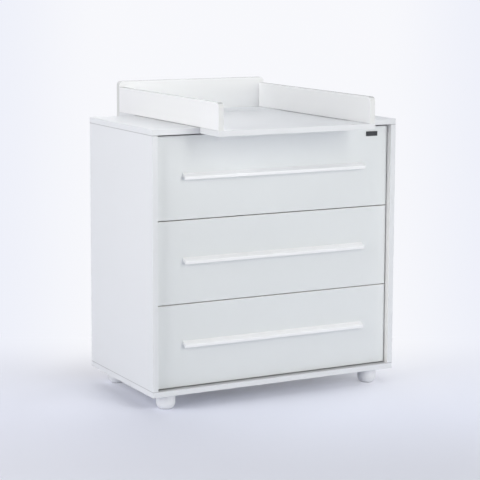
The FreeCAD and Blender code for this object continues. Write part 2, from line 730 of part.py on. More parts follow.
side_length = "bodyDepth + trayFrontOver + trayRearOver"
shelf_z = "trayZ - trayBoard"
SHELF_SCREWS = ("trayScrewEnd", "trayFrontOver - trayScrewEnd - shelfPlay",
                "trayFrontOver + bodyDepth + trayScrewEnd + shelfPlay",
                "trayFrontOver + bodyDepth + trayRearOver - trayScrewEnd")
BACK_SCREWS = ("trayScrewEnd", "traySideHeight - trayScrewEnd")
REAR_SHELF_SCREWS = ("-rearScrewSpread", "0", "rearScrewSpread")

for side, sign in SIDES:
    corner_x = "-trayWidth / 2" if sign < 0 else "trayWidth / 2 - trayBoard"
    tray_side = slab("tray_side_" + side, (corner_x, "trayFrontY", "trayZ"),
                     ("trayBoard", side_length, "traySideHeight"),
                     lambda middle, box: middle.y < CLOSE and middle.z > number("traySideHeight") - CLOSE,
                     lambda middle, box: box.XLength > number("trayBoard") - CLOSE
                     or middle.y > number(side_length) - CLOSE)
    for y in SHELF_SCREWS:
        bore(tray_side, "trayScrew", "trayScrewLength - trayBoard", ("trayBoard / 2", y, "0"), "+z")
    for z in BACK_SCREWS:
        bore(tray_side, "trayScrew", "trayScrewLength - trayBackThick",
             ("trayBoard / 2", side_length, z), "-y")

tray_back = slab("tray_back", ("-trayWidth / 2", "trayBackY", shelf_z),
                 ("trayWidth", "trayBackThick", "trayBackHeight"),
                 lambda middle, box: middle.z > number("trayBackHeight / 4") and box.XLength < CLOSE
                 and box.ZLength < CLOSE,
                 lambda middle, box: box.YLength > number("trayBackThick") - CLOSE)
front_shelf = slab("tray_front_shelf", ("-trayWidth / 2", "trayFrontY - shelfLead", shelf_z),
                   ("trayWidth", "trayFrontOver + shelfLead - shelfPlay", "trayBoard"),
                   None, lambda middle, box: False)
rear_shelf = slab("tray_rear_shelf", ("-trayWidth / 2", "rearY + shelfPlay", shelf_z),
                  ("trayWidth", "trayRearOver - shelfPlay", "trayBoard"),
                  None, lambda middle, box: middle.y > number("trayRearOver - shelfPlay") - CLOSE)

tray_screws = []
tray_pads = []
for side, sign in SIDES:
    x = "%d * (trayWidth - trayBoard) / 2" % sign
    for i, y in enumerate(SHELF_SCREWS):
        tray_screws.append(countersunk("trayScrew", "screwHead", "screwHeadThick", "trayScrewLength",
                                       (x, "trayFrontY + " + y, shelf_z), "+z"))
        shelf, shelf_y = ((front_shelf, "shelfLead + " + y) if i < 2 else
                          (rear_shelf, "%s - trayFrontOver - bodyDepth - shelfPlay" % y))
        sink(shelf, "trayScrew", "screwHead", "screwHeadThick", "trayBoard",
             ("trayWidth / 2 + " + x, shelf_y, "0"), "+z")
    for z in BACK_SCREWS:
        tray_screws.append(countersunk("trayScrew", "screwHead", "screwHeadThick", "trayScrewLength",
                                       (x, "trayBackY + trayBackThick", "trayZ + " + z), "-y"))
        sink(tray_back, "trayScrew", "screwHead", "screwHeadThick", "trayBackThick",
             ("trayWidth / 2 + " + x, "trayBackThick", "trayBoard + " + z), "-y")
    for y in ("frontY + padInset", "rearY - padInset - padLength"):
        felt = doc.addObject("Part::Box", "Felt")
        tie(felt, Length="padWidth", Width="padLength", Height="padThick")
        place(felt, ("%s - padWidth / 2" % x, y, "topZ"))
        tray_pads.append(felt)
for x in REAR_SHELF_SCREWS:
    tray_screws.append(countersunk("trayScrew", "screwHead", "screwHeadThick", "trayScrewLength",
                                   (x, "trayBackY + trayBackThick", "trayZ - trayBoard / 2"), "-y"))
    sink(tray_back, "trayScrew", "screwHead", "screwHeadThick", "trayBackThick",
         ("trayWidth / 2 + " + x, "trayBackThick", "trayBoard / 2"), "-y")
    bore(rear_shelf, "trayScrew", "trayScrewLength - trayBackThick",
         ("trayWidth / 2 + " + x, "trayRearOver - shelfPlay", "trayBoard / 2"), "-y")
group("tray_screws", tray_screws)
group("tray_pads", tray_pads)


# Check and write
doc.recompute()
for item in doc.Objects:
    if "Invalid" in item.State or "Error" in item.State:
        raise SystemExit("%s failed: %s" % (item.Name, item.State))
os.makedirs("parts", exist_ok=True)
for node in nodes:
    if node.Shape.isNull() or not node.Shape.isValid():
        raise SystemExit("%s has no valid shape" % node.Label)
for node in nodes:
    node.Shape.exportStep("parts/%s.step" % node.Label)
print(len(nodes), "nodes written")
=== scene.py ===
import math

import bpy
import numpy as np
from mathutils import Matrix, Vector


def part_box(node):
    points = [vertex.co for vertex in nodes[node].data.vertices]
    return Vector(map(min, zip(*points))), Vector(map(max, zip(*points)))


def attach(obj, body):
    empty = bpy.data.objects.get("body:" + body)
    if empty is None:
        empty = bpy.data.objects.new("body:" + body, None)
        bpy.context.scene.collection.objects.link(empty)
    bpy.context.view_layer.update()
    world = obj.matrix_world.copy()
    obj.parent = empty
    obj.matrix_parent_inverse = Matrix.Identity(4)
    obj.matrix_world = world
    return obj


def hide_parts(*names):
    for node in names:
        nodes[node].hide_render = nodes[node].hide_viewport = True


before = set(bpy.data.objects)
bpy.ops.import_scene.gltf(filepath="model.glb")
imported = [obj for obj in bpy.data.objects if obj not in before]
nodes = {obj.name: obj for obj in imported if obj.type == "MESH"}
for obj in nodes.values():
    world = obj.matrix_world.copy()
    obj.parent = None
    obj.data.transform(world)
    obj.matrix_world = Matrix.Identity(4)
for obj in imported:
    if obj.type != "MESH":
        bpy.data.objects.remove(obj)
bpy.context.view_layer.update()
drawers = (1, 2, 3)  # from the top down
sideSigns = (-1, 1)  # left and right
mm = 0.001
print("frame:", len(nodes), "nodes")


# A shader socket that takes part in sums: + - * / on it add Math nodes
class Wire:
    def __init__(self, tree, socket=None):
        self.tree = tree
        self.socket = socket

    # any other node: its type, its settings, then the values or links of its sockets
    def add(self, kind, settings=None, sockets=None, output=0):
        made = self.tree.nodes.new(kind)
        for name, value in (settings or {}).items():
            setattr(made, name, value)
        for name, value in (sockets or {}).items():
            socket = findSocket(made.inputs, name)
            if isinstance(value, Wire):
                self.tree.links.new(value.socket, socket)
            elif socket.type == "RGBA":
                socket.default_value = (*value, 1)
            else:
                socket.default_value = value
        return Wire(self.tree, findSocket(made.outputs, output) if made.outputs else None)

    def maths(self, operation, first, second=0.0):
        return self.add("ShaderNodeMath", {"operation": operation}, {0: first, 1: second})

    def __add__(self, other):
        return self.maths("ADD", self, other)

    def __radd__(self, other):
        return self.maths("ADD", other, self)

    def __sub__(self, other):
        return self.maths("SUBTRACT", self, other)

    def __rsub__(self, other):
        return self.maths("SUBTRACT", other, self)

    def __mul__(self, other):
        return self.maths("MULTIPLY", self, other)

    def __rmul__(self, other):
        return self.maths("MULTIPLY", other, self)

    def __truediv__(self, other):
        return self.maths("DIVIDE", self, other)

    def __rtruediv__(self, other):
        return self.maths("DIVIDE", other, self)


def findSocket(sockets, name):
    if isinstance(name, int):
        return sockets[name]
    return next(s for s in sockets if name in (s.identifier, s.name))


def newMaterial(name):
    material = bpy.data.materials.new(name)
    material.use_nodes = True
    material.node_tree.nodes.clear()
    return material, Wire(material.node_tree)


# ends a material with one Principled shader that has these sockets
def finishSurface(graph, **sockets):
    given = {name.replace("_", " "): value for name, value in sockets.items()}
    shader = graph.add("ShaderNodeBsdfPrincipled", {}, given)
    graph.add("ShaderNodeOutputMaterial", {}, {"Surface": shader})


# the point on the piece, from a middle and stretched along each axis
def pointOn(graph, middle=(0, 0, 0), stretch=(1, 1, 1)):
    point = graph.add("ShaderNodeTexCoord", output="Object")
    moved = graph.add("ShaderNodeVectorMath", {"operation": "SUBTRACT"}, {0: point, 1: middle})
    return graph.add("ShaderNodeVectorMath", {"operation": "MULTIPLY"}, {0: moved, 1: stretch})


def axisOf(graph, point, axis):
    return graph.add("ShaderNodeSeparateXYZ", {}, {0: point}, "XYZ"[axis])


def distanceFrom(graph, point, place=(0, 0, 0)):
    return graph.add(
        "ShaderNodeVectorMath", {"operation": "DISTANCE"}, {0: point, 1: place}, "Value")


def noiseOn(graph, point, scale, detail=2.0, coarse=0.5):
    return graph.add("ShaderNodeTexNoise", {}, {
        "Vector": point, "Scale": scale, "Detail": detail, "Roughness": coarse})


def tint(graph, amount, first, second):
    return graph.add("ShaderNodeMix", {"data_type": "RGBA"}, {
        "Factor_Float": amount, "A_Color": first, "B_Color": second}, "Result_Color")


def ease(graph, value, low, high, start=0.0, end=1.0):
    return graph.add("ShaderNodeMapRange", {"interpolation_type": "SMOOTHSTEP"}, {
        "Value": value, "From Min": low, "From Max": high, "To Min": start, "To Max": end})


def relief(graph, height, distance):
    return graph.add("ShaderNodeBump", {}, {
        "Height": height, "Distance": distance, "Strength": 1.0})


# a value that strays by a pattern from 0 to 1, half of the spread each way
def strayed(value, pattern, spread):
    return value + (pattern - 0.5) * spread


def dress(material, *names):
    for name in names:
        slots = nodes[name].data.materials
        slots.clear()
        slots.append(material)


def named(*beginnings):
    return [name for name in nodes if name.startswith(beginnings)]


def inDrawers(*endings):
    return ["drawer_%d_%s" % (number, ending) for number in drawers for ending in endings]


# Painted boards: satin white, with the faint orange peel of a sprayed finish
board = {
    "shade": (0.768, 0.786, 0.806), "lighter": (0.786, 0.80, 0.817), "cloudsPerMetre": 2.3,
    "roughness": 0.34, "roughnessSpread": 0.10,
    "peelPerMetre": 260, "peelCoarse": 0.6, "peelHigh": 0.00005, "peelRoughness": 0.05,
    "jointShade": (0.30, 0.30, 0.31), "jointDark": 0.6, "jointCore": 0.0005, "jointEdge": 0.0017,
    # painted shade on edges by which way they face: the tray boards' top edges and ends are
    # darkened
    "edgeLightAndShade": {0: (0.72, 0.735, 0.72), 1: (0.77, 0.78, 0.775), 2: (0.50, 0.51, 0.505)},
    # the last two: the lighter colour painted on the side panels' inner faces, as painted light
    "facingFrom": 0.6, "facingTo": 0.85, "paintedLightInside": (0.875, 0.87, 0.85), "paintedLightPast": 0.0003,
}
# the drawer fronts are a touch greener; their top and bottom edges are painted lighter, painted
# light that brightens the shaded gaps between the drawers
frontBoard = dict(board, shade=(0.752, 0.783, 0.792), lighter=(0.772, 0.795, 0.803),
                  edgeLightAndShade={2: (0.94, 0.94, 0.93)})
# the tray's boards are painted whiter than the other boards: painted light that stands in for the
# stronger light on the tray
trayBoard = dict(board, shade=(0.912, 0.92, 0.928), lighter=(0.927, 0.934, 0.941))


# 1 on the faces that look along an axis, either way, and 0 on the others
def facingAlong(graph, axis, finish):
    facing = graph.add("ShaderNodeTexCoord", output="Normal")
    return ease(graph, graph.maths("ABSOLUTE", axisOf(graph, facing, axis)),
                finish["facingFrom"], finish["facingTo"])


# joints: the heights where two boards meet. Edges that face along the given axes get a colour of
# their own: painted shade on the tray's boards, painted light on the drawer fronts. The side
# panels' inner faces, out to the given distance from the middle, are painted lighter.
def paintedBoard(name, finish, joints=(), paintedEdgeAxes=(), lightPaintedWithin=0.0):
    material, graph = newMaterial(name)
    point = pointOn(graph)
    cloud = noiseOn(graph, point, finish["cloudsPerMetre"], detail=3)
    peel = noiseOn(graph, point, finish["peelPerMetre"], coarse=finish["peelCoarse"])
    colour = tint(graph, cloud, finish["shade"], finish["lighter"])
    for level in joints:  # a fine shadow line
        apart = graph.maths("ABSOLUTE", axisOf(graph, point, 2) - level)
        line = ease(graph, apart, finish["jointCore"], finish["jointEdge"], finish["jointDark"], 0)
        colour = tint(graph, line, colour, finish["jointShade"])
    # edges darkened as painted shade on the tray, lightened as painted light on the fronts
    for axis in paintedEdgeAxes:
        band = facingAlong(graph, axis, finish)
        colour = tint(graph, band, colour, finish["edgeLightAndShade"][axis])
    if lightPaintedWithin:  # painted light: the side panels' inner faces are lighter, for the light in the recess beside the drawer fronts
        past = finish["paintedLightPast"]
        inside = ease(graph, graph.maths("ABSOLUTE", axisOf(graph, point, 0)),
                      lightPaintedWithin + past * 2, lightPaintedWithin + past)
        lightPaintedFaces = facingAlong(graph, 0, finish) * inside
        colour = tint(graph, lightPaintedFaces, colour, finish["paintedLightInside"])
    dull = strayed(finish["roughness"], cloud, finish["roughnessSpread"])
    finishSurface(
        graph,
        Base_Color=colour,
        Roughness=strayed(dull, peel, finish["peelRoughness"]),
        Normal=relief(graph, peel, finish["peelHigh"]),
    )
    return material


whiteBoard = paintedBoard("white_board", board)
whiteFront = paintedBoard("front_board", frontBoard, paintedEdgeAxes=(2,))
sideLow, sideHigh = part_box(named("side_panel")[0])
innerFace = min(abs(sideLow.x), abs(sideHigh.x))
carcassBoard = paintedBoard(
    "carcass_board", board, joints=(sideLow.z, sideHigh.z), lightPaintedWithin=innerFace)
dress(carcassBoard, *named("top_panel", "bottom_panel", "side_panel"))
dress(whiteBoard, *named("rear_rail", "tray_front", "tray_rear"))
dress(paintedBoard("tray_side_board", trayBoard, paintedEdgeAxes=(1, 2)), *named("tray_side"))
dress(paintedBoard("tray_back_board", trayBoard, paintedEdgeAxes=(2, 0)), *named("tray_back"))
dress(whiteBoard, *inDrawers("side_left", "side_right", "back"))
dress(whiteFront, *inDrawers("front"))
print("boards")


# Handle rails: a harder lacquer with faint streaks along the rail
rail = {
    # the rails' white is lighter than the boards': painted light standing in for the light on the
    # rails' sloping tops
    "shade": (0.93, 0.935, 0.945), "streaked": (0.91, 0.917, 0.93),
    "roughness": 0.26, "roughnessSpread": 0.12, "streakStretch": (3, 90, 90), "streakScale": 4,
    "peelPerMetre": 320, "streakShare": 0.6, "peelShare": 0.4, "streakHigh": 0.00002,
}


def lacqueredRail(name, finish):
    material, graph = newMaterial(name)
    streaks = noiseOn(
        graph, pointOn(graph, stretch=finish["streakStretch"]), finish["streakScale"], detail=3)
    peel = noiseOn(graph, pointOn(graph), finish["peelPerMetre"], detail=1)
    height = streaks * finish["streakShare"] + peel * finish["peelShare"]
    finishSurface(
        graph,
        Base_Color=tint(graph, streaks, finish["streaked"], finish["shade"]),
        Roughness=strayed(finish["roughness"], streaks, finish["roughnessSpread"]),
        Normal=relief(graph, height, finish["streakHigh"]),
    )
    return material


dress(lacqueredRail("white_handle", rail), *inDrawers("handle"))


# Thin hardboard: one face lacquered white, the other bare brown fibre
hardboard = {
    "white": (0.79, 0.80, 0.815), "fibre": (0.40, 0.265, 0.15), "fibreDark": (0.25, 0.155, 0.08),
    "roughness": 0.45, "bareRougher": 0.35, "bareFrom": 0.8, "bareFull": 1.2,
    "strandsPerMetre": 420, "strandCoarse": 0.7, "strandShare": 0.7,
    "clumpsPerMetre": 60, "clumpShare": 0.3, "strandHigh": 0.00012, "whiteRelief": 0.15,
}


# the sheet's thin way is along an axis, and its bare face is the one towards bareSide on it
def hardboardSheet(name, node, axis, bareSide, finish):
    low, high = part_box(node)
    middle = (low[axis] + high[axis]) / 2
    material, graph = newMaterial(name)
    point = pointOn(graph)
    edge = bareSide * ((high[axis] - low[axis]) / 2) * finish["bareFrom"]
    bare = ease(graph, axisOf(graph, point, axis),
                middle + edge, middle + edge * finish["bareFull"])
    strands = noiseOn(
        graph, point, finish["strandsPerMetre"], detail=4, coarse=finish["strandCoarse"])
    clumps = noiseOn(graph, point, finish["clumpsPerMetre"], detail=3)
    fibres = strands * finish["strandShare"] + clumps * finish["clumpShare"]
    brown = tint(graph, fibres, finish["fibreDark"], finish["fibre"])
    finishSurface(
        graph,
        Base_Color=tint(graph, bare, finish["white"], brown),
        Roughness=finish["roughness"] + bare * finish["bareRougher"],
        Normal=relief(graph, strands * (finish["whiteRelief"] + bare), finish["strandHigh"]),
    )
    dress(material, node)


hardboardSheet("back_board", "back_panel", 1, 1, hardboard)
for number in drawers:
    hardboardSheet("drawer_%d_base" % number, "drawer_%d_bottom" % number, 2, -1, hardboard)


# Feet: turned wood under white lacquer, with rings left by the lathe
foot = {
    # the feet's white is lighter than the boards': painted light against the shade under the
    # dresser
    "shade": (0.845, 0.855, 0.87), "darker": (0.81965, 0.82935, 0.8439), "cloudsPerMetre": 30,
    "roughness": 0.28, "cloudRoughness": 0.08, "ringsPerMetre": 5200, "ringHigh": 0.00001,
}


# rings: the sine of the distance from the foot's axis plus the height, many times over
def turnedFoot(node, finish):
    low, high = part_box(node)
    middle = ((low.x + high.x) / 2, (low.y + high.y) / 2, 0)
    material, graph = newMaterial(node + "_lacquer")
    point = pointOn(graph, middle)
    radius = distanceFrom(graph, pointOn(graph, middle, stretch=(1, 1, 0)))
    rings = graph.maths("SINE", (radius + axisOf(graph, point, 2)) * finish["ringsPerMetre"])
    cloud = noiseOn(graph, point, finish["cloudsPerMetre"])
    finishSurface(
        graph,
        Base_Color=tint(graph, cloud, finish["darker"], finish["shade"]),
        Roughness=finish["roughness"] + cloud * finish["cloudRoughness"],
        Normal=relief(graph, rings, finish["ringHigh"]),
    )
    dress(material, node)


for node in named("foot_front", "foot_rear"):
    turnedFoot(node, foot)


# Small plate: dark anodised metal, brushed along its length and bare
plate = {
    "shade": (0.018, 0.02, 0.025), "worn": (0.032, 0.034, 0.04), "metallic": 0.35,
    "roughness": 0.48, "roughnessSpread": 0.2,
    "brushStretch": (40, 2600, 2600), "brushCoarse": 0.6, "brushHigh": 0.00001,
}


def brushedPlate(name, finish):
    material, graph = newMaterial(name)
    brush = noiseOn(graph, pointOn(graph, stretch=finish["brushStretch"]), 1,
                    detail=3, coarse=finish["brushCoarse"])
    finishSurface(
        graph,
        Base_Color=tint(graph, brush, finish["shade"], finish["worn"]),
        Metallic=finish["metallic"],
        Roughness=strayed(finish["roughness"], brush, finish["roughnessSpread"]),
        Normal=relief(graph, brush, finish["brushHigh"]),
    )
    return material


dress(brushedPlate("dark_plate", plate), "front_plate")


# Runners: zinc-plated strip, with rolling marks along it and a dull crystal pattern
runnerSteel = {
    "shade": (0.60, 0.62, 0.64), "dull": (0.45, 0.47, 0.49), "roughness": 0.36,
    "rollStretch": (900, 9, 900), "rollShare": 0.65, "rollRoughness": 0.2, "rollHigh": 0.00002,
    "crystalsPerMetre": 130, "crystalShare": 0.35, "crystalRoughness": 0.1,
}


def rolledZinc(name, finish):
    material, graph = newMaterial(name)
    rolled = noiseOn(graph, pointOn(graph, stretch=finish["rollStretch"]), 1, detail=3)
    crystals = graph.add("ShaderNodeTexVoronoi", {}, {
        "Vector": pointOn(graph), "Scale": finish["crystalsPerMetre"]}, "Color")
    crystal = graph.add("ShaderNodeSeparateColor", {}, {0: crystals})
    bright = crystal * finish["crystalShare"] + rolled * finish["rollShare"]
    dull = strayed(finish["roughness"], crystal, finish["crystalRoughness"])
    finishSurface(
        graph,
        Base_Color=tint(graph, bright, finish["dull"], finish["shade"]),
        Metallic=1.0,
        Roughness=strayed(dull, rolled, finish["rollRoughness"]),
        Normal=relief(graph, rolled, finish["rollHigh"]),
    )
    return material


steelStrip = rolledZinc("runner_steel", runnerSteel)
dress(steelStrip, *named("runner_cabinet", "runner_middle", "runner_drawer"))


# Fittings: bright zinc, a little mottled
zinc = {
    "shade": (0.70, 0.71, 0.72), "mottled": (0.56, 0.57, 0.58), "mottlesPerMetre": 700,
    "roughness": 0.26, "roughnessSpread": 0.16, "mottleHigh": 0.00001,
}


def brightZinc(name, finish):
    material, graph = newMaterial(name)
    mottle = noiseOn(graph, pointOn(graph), finish["mottlesPerMetre"], detail=3)
    finishSurface(
        graph,
        Base_Color=tint(graph, mottle, finish["mottled"], finish["shade"]),
        Metallic=1.0,
        Roughness=strayed(finish["roughness"], mottle, finish["roughnessSpread"]),
        Normal=relief(graph, mottle, finish["mottleHigh"]),
    )
    return material


zincSteel = brightZinc("zinc_steel", zinc)
dress(zincSteel, *named("foot_studs", "foot_tee", "tray_screws", "runner_screws", "cam_fittings"))
dress(zincSteel, *inDrawers("handle_screws", "runner_screws"))


# Dowels: beech with its short dark flecks, and a grain that runs along the dowel
beech = {
    "shade": (0.58, 0.40, 0.24), "fleck": (0.38, 0.24, 0.13),
    "grainAcross": 900, "grainAlong": 60, "grainCoarse": 0.6, "grainShare": 0.5,
    "grainHigh": 0.00008,
    "fleckFiner": 3, "fleckFrom": 0.55, "fleckFull": 0.7, "fleckShare": 0.5,
    "roughness": 0.6, "roughnessSpread": 0.15,
}


def beechWood(name, axis, finish):
    material, graph = newMaterial(name)
    stretch = [finish["grainAcross"]] * 3
    stretch[axis] = finish["grainAlong"]
    finer = [times * finish["fleckFiner"] for times in stretch]
    grain = noiseOn(
        graph, pointOn(graph, stretch=stretch), 1, detail=4, coarse=finish["grainCoarse"])
    flecks = ease(graph, noiseOn(graph, pointOn(graph, stretch=finer), 1),
                  finish["fleckFrom"], finish["fleckFull"])
    dark = grain * finish["grainShare"] + flecks * finish["fleckShare"]
    finishSurface(
        graph,
        Base_Color=tint(graph, dark, finish["shade"], finish["fleck"]),
        Roughness=strayed(finish["roughness"], grain, finish["roughnessSpread"]),
        Normal=relief(graph, grain, finish["grainHigh"]),
    )
    return material


dress(beechWood("beech_upright", 2, beech), "carcass_dowels")
dress(beechWood("beech_lengthwise", 1, beech), *inDrawers("dowels"))


# Felt: short grey fibres, matted and soft at grazing angles
felt = {
    "shade": (0.36, 0.36, 0.37), "light": (0.52, 0.52, 0.52), "sheen": 0.4,
    "tuftsPerMetre": 900, "tuftCoarse": 0.75, "tuftShare": 0.6, "tuftHigh": 0.0004,
    "matsPerMetre": 120, "matShare": 0.4, "roughness": 0.9, "tuftRoughness": 0.1,
}


def greyFelt(name, finish):
    material, graph = newMaterial(name)
    point = pointOn(graph)
    tufts = noiseOn(graph, point, finish["tuftsPerMetre"], detail=4, coarse=finish["tuftCoarse"])
    mats = noiseOn(graph, point, finish["matsPerMetre"], detail=3)
    pale = tufts * finish["tuftShare"] + mats * finish["matShare"]
    finishSurface(
        graph,
        Base_Color=tint(graph, pale, finish["shade"], finish["light"]),
        Roughness=finish["roughness"] + tufts * finish["tuftRoughness"],
        Sheen_Weight=finish["sheen"],
        Normal=relief(graph, tufts, finish["tuftHigh"]),
    )
    return material


dress(greyFelt("grey_felt", felt), "foot_glides", "tray_pads")
print("materials")


# the angles of a ring's points, evenly round from 0
def ringAngles(sides):
    return np.arange(sides) * 2 * math.pi / sides


# a row for each value, which repeats it once for each point of a ring
def ringRows(values, sides):
    return np.repeat(np.array(values, float)[:, None], sides, axis=1)


# how far the points of a round face are from the nearer arm of a cross over its middle: the
# smaller of their distances from the two arms' lines
def armDistance(across, angle):
    return np.minimum(np.abs(across * np.cos(angle)), np.abs(across * np.sin(angle)))


# Turned shapes: rings of points, one ring for each place of the profile. Point (u, v) lies at
# radius[u, v] from the axis, at angle v, and at height[u, v] along it; the ends close to a point.
def turnedGrid(radius, height):
    rings, sides = radius.shape
    angle = ringAngles(sides)
    points = np.stack([radius * np.cos(angle), radius * np.sin(angle), height], axis=2)
    poles = np.array([[0, 0, height[0].mean()], [0, 0, height[-1].mean()]])
    ring = np.arange(rings - 1)[:, None] * sides
    here = np.arange(sides)[None, :]
    after = (here + 1) % sides
    above = ring + sides
    walls = np.stack([ring + here, ring + after, above + after, above + here], axis=2)
    first, last, lastRing = rings * sides, rings * sides + 1, (rings - 1) * sides
    low = np.stack([np.full(sides, first), after[0], here[0]], axis=1)
    high = np.stack([np.full(sides, last), lastRing + here[0], lastRing + after[0]], axis=1)
    return np.vstack([points.reshape(-1, 3), poles]), walls.reshape(-1, 4), np.vstack([low, high])


# Copies of one shape: each point is turned by the rotation that takes the shape's axis to the
# copy's direction, and then moved to the copy's place
def placedCopies(shape, places, directions):
    points, quads, triangles = shape
    allPoints, allFaces = [], []
    for index, (place, direction) in enumerate(zip(places, directions)):
        turn = np.array(Vector((0, 0, 1)).rotation_difference(Vector(direction)).to_matrix())
        allPoints.append(points @ turn.T + np.array(place))
        start = index * len(points)
        allFaces += (quads + start).tolist() + (triangles + start).tolist()
    return np.vstack(allPoints), allFaces


def newPiece(name, points, faces, material, body, replaced=(), smoothAngle=35):
    mesh = bpy.data.meshes.new(name)
    mesh.from_pydata(points.tolist(), [], faces)
    mesh.validate()
    mesh.shade_smooth()
    mesh.set_sharp_from_angle(angle=math.radians(smoothAngle))
    mesh.materials.append(material)
    piece = bpy.data.objects.new(name, mesh)
    bpy.context.scene.collection.objects.link(piece)
    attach(piece, body)
    if replaced:
        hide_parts(*replaced)


# Screws: flat or domed heads with a cross recess, and a threaded shank with a point, in mm
screwKinds = {
    "runner": {"head": 6.4, "headDeep": 1.2, "dome": 0.0, "shank": 4.0, "length": 13.0},
    "tray": {"head": 8.0, "headDeep": 2.4, "dome": 0.0, "shank": 4.0, "length": 45.0},
    "handle": {"head": 8.0, "headDeep": 2.4, "dome": 0.7, "shank": 4.0, "length": 28.4},
}
screwForm = {
    "sides": 20, "faceRings": (0.1, 0.22, 0.34, 0.46, 0.56, 0.64, 0.8, 0.93, 1.0),
    "recessReach": 0.58, "recessFade": 0.12, "recessWide": 0.17, "recessDeep": 1.1,
    "wallFoot": 1.5, "wallThick": 0.6, "floorMiddle": 1.15, "floorRise": 0.9,
    "domeDrop": 0.9, "rimThick": 0.15, "threadFrom": 0.4, "threadPitch": 2.0, "threadDeep": 0.38,
    "ridgeSharp": 3.2, "ringsPerTurn": 5, "fewestRings": 4,
    "pointLong": 3.0, "pointMiddle": (0.5, 0.45), "pointEnd": (0.12, 0.2),
}


# Radius by place along the screw: the head out to its rim, down to the neck, then the shank,
# whose ridge climbs once in a turn. Height by place: the dome, the root of 1 less the squared
# share of the rim, less the cross recess, whose walls and floor slope in straight lines.
def screwShape(kind, form):
    sides = form["sides"]
    angle = ringAngles(sides)
    rim, shank = kind["head"] / 2, kind["shank"] / 2
    share = np.array(form["faceRings"])[:, None]
    across = share * rim * np.ones(sides)
    wide = form["recessWide"] * rim
    wall = (wide * form["wallFoot"] - armDistance(across, angle)) / (wide * form["wallThick"])
    end = np.clip((form["recessReach"] - share) / form["recessFade"], 0, 1)
    sunk = np.clip(form["floorMiddle"] - share * form["floorRise"], 0, 1)
    recess = np.clip(wall, 0, 1) * end * form["recessDeep"] * sunk
    headHeight = kind["dome"] * np.sqrt(1 - form["domeDrop"] * share ** 2) - recess
    if kind["dome"]:
        neck = -kind["headDeep"] + kind["dome"]
        rimLevel = neck
    else:
        neck = -kind["headDeep"]
        rimLevel = -form["rimThick"]
    tip = -kind["length"]
    threadEnd = tip + form["pointLong"]
    turns = (neck - tip - form["pointLong"]) / form["threadPitch"]
    threadRings = max(int(turns * form["ringsPerTurn"]), form["fewestRings"])
    down = np.linspace(neck - form["threadFrom"], threadEnd, threadRings)
    phase = (down[:, None] / form["threadPitch"] + angle / (2 * math.pi)) % 1
    ridge = np.clip(1 - np.abs(phase - 0.5) * form["ridgeSharp"], 0, 1) * form["threadDeep"]
    (middleShare, middleUp), (endShare, endUp) = form["pointMiddle"], form["pointEnd"]
    pointRadii = [shank * middleShare, shank * endShare]
    pointHeights = [tip + form["pointLong"] * middleUp, tip + endUp]
    radius = np.vstack([across, ringRows([rim, shank], sides), shank - form["threadDeep"] + ridge,
                        ringRows(pointRadii, sides)])
    height = np.vstack([headHeight, ringRows([rimLevel, neck], sides), ringRows(down, sides),
                        ringRows(pointHeights, sides)])
    shape = turnedGrid(radius * mm, height * mm)
    shape[0][-2, 2] = (kind["dome"] - form["recessDeep"]) * mm  # the recess's deepest point
    shape[0][-1, 2] = tip * mm
    return shape


def screwSet(name, kind, places, directions, body, replaced):
    points, faces = placedCopies(
        screwShape(screwKinds[kind], screwForm), np.array(places) * mm, directions)
    newPiece(name, points, faces, zincSteel, body, [replaced])


# where the screws are, in mm: across from the middle, along the depth, and up
runnerPlaces = {
    "levels": {1: 706, 2: 447, 3: 188}, "ends": (-167.5, 158.5),
    "cabinetAt": 411.8, "drawerAt": 401.5,
}
handlePlaces = {"levels": {1: 722.5, 2: 463.5, 3: 204.5}, "across": 256, "depth": -204.8}
trayPlaces = {
    "across": 264, "below": 849, "belowDepths": (-344.5, -267.5, 250.5, 325.5), "behind": 369.5,
    "sideLevels": (889, 928), "shelfLevel": 858, "shelfAcross": (-170, 0, 170),
}
runnerLevels, runnerEnds = runnerPlaces["levels"], runnerPlaces["ends"]
screwSet("carcass_runner_screws", "runner",
         [(sign * runnerPlaces["cabinetAt"], y, z)
          for z in runnerLevels.values() for sign in sideSigns for y in runnerEnds],
         [(-sign, 0, 0) for z in runnerLevels.values() for sign in sideSigns for y in runnerEnds],
         "carcass", "runner_screws")
for number in drawers:
    body = "drawer_%d" % number
    screwSet(body + "_slide_screws", "runner",
             [(sign * runnerPlaces["drawerAt"], y, runnerLevels[number])
              for sign in sideSigns for y in runnerEnds],
             [(sign, 0, 0) for sign in sideSigns for y in runnerEnds],
             body, body + "_runner_screws")
    screwSet(body + "_rail_screws", "handle",
             [(sign * handlePlaces["across"], handlePlaces["depth"], handlePlaces["levels"][number])
              for sign in sideSigns],
             [(0, 1, 0)] * len(sideSigns), body, body + "_handle_screws")
upward = [(sign * trayPlaces["across"], y, trayPlaces["below"])
          for sign in sideSigns for y in trayPlaces["belowDepths"]]
rearward = [(sign * trayPlaces["across"], trayPlaces["behind"], z)
            for sign in sideSigns for z in trayPlaces["sideLevels"]]
rearward += [(x, trayPlaces["behind"], trayPlaces["shelfLevel"]) for x in trayPlaces["shelfAcross"]]
screwSet("tray_board_screws", "tray", upward + rearward,
         [(0, 0, -1)] * len(upward) + [(0, 1, 0)] * len(rearward), "tray", "tray_screws")
print("screws")


